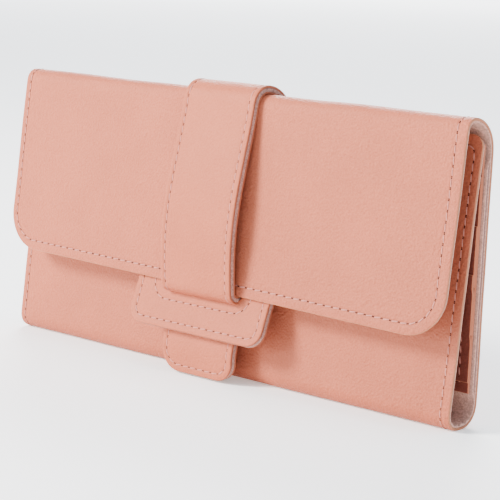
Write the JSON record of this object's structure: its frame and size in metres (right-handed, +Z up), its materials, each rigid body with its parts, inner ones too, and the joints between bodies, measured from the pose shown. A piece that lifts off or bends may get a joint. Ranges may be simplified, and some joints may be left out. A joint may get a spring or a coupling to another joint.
{
  "type": "coupon organizer wallet",
  "caption": "Flat tri-fold leather wallet with a wrap-over flap, stepped pockets inside, and a strap that tucks through a slotted keeper on the front panel.",
  "frame": {"origin": "middle of the flat of the bottom fold, where the closed wallet stands", "axes": "+X along the folds to the right as seen from the front, +Y from the front to the back, +Z up"},
  "size_m": [0.196, 0.0288, 0.0993],
  "materials": {
    "cover_leather": "fine grained, satin",
    "pocket_leather": "smooth, satin",
    "strap_leather": "fine grained, satin",
    "backing_leather": "smooth, painted edge",
    "core": "matte",
    "board": "matte",
    "lining": "matte, close weave"
  },
  "bodies": {
    "back": {"cover_back": "cover_leather", "cover_top_fold": "cover_leather", "cover_bottom_fold": "cover_leather", "back_board": "board", "back_lining": "lining", "top_fold_lining": "lining", "bottom_fold_lining": "lining", "tall_pocket_panel": "pocket_leather", "card_tier_lower": "pocket_leather", "card_tier_middle": "pocket_leather", "card_tier_upper": "pocket_leather", "strap_rear_outer": "strap_leather", "strap_rear_core": "core", "strap_rear_backing": "backing_leather", "strap_arch_outer": "strap_leather", "strap_arch_core": "core", "strap_arch_backing": "backing_leather"},
    "front_panel": {"cover_front": "cover_leather", "front_lining": "lining", "slip_pocket": "pocket_leather", "keeper_front": "strap_leather", "keeper_core": "core", "keeper_back": "backing_leather"},
    "flap": {"cover_flap": "cover_leather", "flap_lining": "lining"},
    "strap": {"strap_front_outer": "strap_leather", "strap_front_core": "core", "strap_front_backing": "backing_leather", "strap_tongue_outer": "strap_leather", "strap_tongue_core": "core", "strap_tongue_backing": "backing_leather"}
  },
  "joints": [
    {"name": "flap_fold", "type": "hinge", "parent": "back", "child": "flap", "pos_m": [0, 0.00045, 0.096], "axis": [-1, 0, 0], "range_deg": [0, 180], "deforming": ["cover_top_fold", "top_fold_lining", "strap_arch_outer", "strap_arch_core", "strap_arch_backing", "strap_tongue_outer", "strap_tongue_core", "strap_tongue_backing"]},
    {"name": "front_fold", "type": "hinge", "parent": "back", "child": "front_panel", "pos_m": [0, -0.0032, 0.0042], "axis": [1, 0, 0], "range_deg": [0, 45], "deforming": ["cover_bottom_fold", "bottom_fold_lining"]},
    {"name": "strap_swing", "type": "hinge", "parent": "flap", "child": "strap", "pos_m": [0, -0.008, 0.09], "axis": [-1, 0, 0], "range_deg": [0, 100], "deforming": ["strap_arch_outer", "strap_arch_core", "strap_arch_backing", "strap_tongue_outer", "strap_tongue_core", "strap_tongue_backing"]}
  ],
  "couplings": [
    {"joint": "front_fold", "follows": "flap_fold", "ratio": 0.25}
  ]
}
